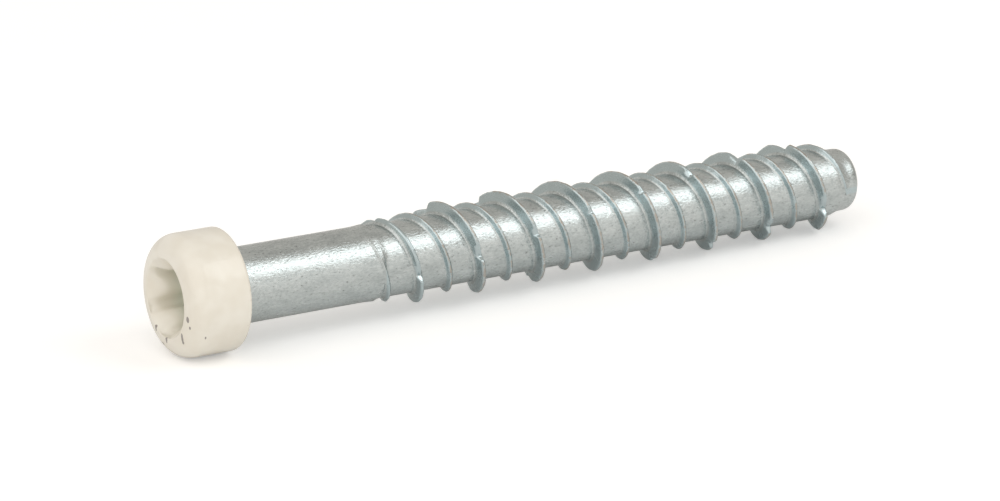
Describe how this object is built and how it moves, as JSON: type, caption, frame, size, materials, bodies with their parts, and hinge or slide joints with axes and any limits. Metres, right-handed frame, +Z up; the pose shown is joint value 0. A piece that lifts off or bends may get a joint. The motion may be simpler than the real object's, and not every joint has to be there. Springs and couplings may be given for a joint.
{
  "type": "concrete screw",
  "caption": "One-piece steel concrete screw: painted cylinder head with a six-lobe recess, plain shank, coarse high-and-low thread with notched crest, blunt tip.",
  "frame": {"origin": "on the floor under the middle of the lying screw", "axes": "+Z up, +X along the screw from its head to its tip; the screw's axis falls to the tip by 1.06 degrees, because it rests on its head's back rim and on its thread"},
  "size_m": [0.0615, 0.0092, 0.0094],
  "materials": {
    "zinc_steel": "bright bluish zinc plating",
    "cream_paint": "glossy cream-white paint over the head and the mouth of its recess"
  },
  "bodies": {
    "root": {"concrete_screw": "zinc_steel"}
  },
  "joints": []
}
